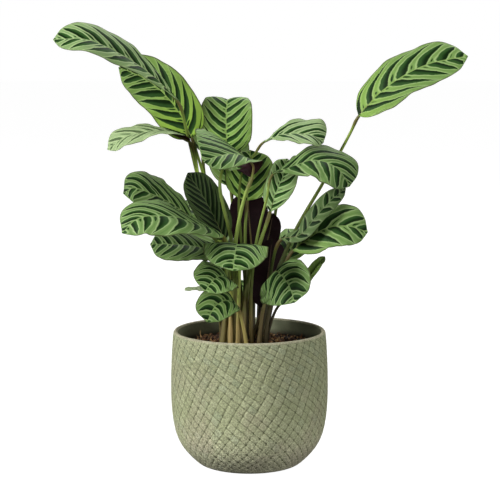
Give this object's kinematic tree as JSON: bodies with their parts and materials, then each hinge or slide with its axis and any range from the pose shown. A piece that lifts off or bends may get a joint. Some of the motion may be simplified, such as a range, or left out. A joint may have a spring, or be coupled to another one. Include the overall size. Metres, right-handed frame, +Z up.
{
  "type": "potted calathea",
  "caption": "Patterned-leaf prayer plant with upright stalks and fishbone-striped oblong leaves, standing in a round, rimmed flower pot filled with soil.",
  "frame": {"origin": "centre of the pot's flat underside", "axes": "+Z up, the plant's front faces -Y, +X is to the right seen from the front"},
  "size_m": [0.3781, 0.2268, 0.4199],
  "materials": {
    "pot_matt": "matte",
    "potting_soil": "matte",
    "leaf_green": "satin"
  },
  "bodies": {
    "root": {"pot": "pot_matt", "soil": "potting_soil", "leaf_top_left_long": "leaf_green", "leaf_top_left_broad": "leaf_green", "leaf_left_pale": "leaf_green", "leaf_centre_upright": "leaf_green", "leaf_behind_upright": "leaf_green", "leaf_centre_arched": "leaf_green", "leaf_centre_back": "leaf_green", "leaf_top_right": "leaf_green", "leaf_right_small": "leaf_green", "leaf_right_drooping": "leaf_green", "leaf_right_narrow": "leaf_green", "leaf_right_folded": "leaf_green", "leaf_right_broad": "leaf_green", "leaf_front_right": "leaf_green", "leaf_right_rolled": "leaf_green", "leaf_left_upper": "leaf_green", "leaf_left_broad": "leaf_green", "leaf_left_under": "leaf_green", "leaf_left_inner": "leaf_green", "leaf_left_edge_on": "leaf_green", "leaf_front_middle": "leaf_green", "leaf_front_left": "leaf_green", "leaf_front_low": "leaf_green", "leaf_inner_back": "leaf_green", "leaf_inner_low": "leaf_green", "leaf_inner_small": "leaf_green", "leaf_rear_left": "leaf_green", "leaf_rear_right": "leaf_green", "leaf_rear_high": "leaf_green", "leaf_rear_middle": "leaf_green", "leaf_rear_left_upper": "leaf_green", "leaf_rear_right_upper": "leaf_green", "leaf_rear_top": "leaf_green", "leaf_rear_low": "leaf_green"}
  },
  "joints": []
}
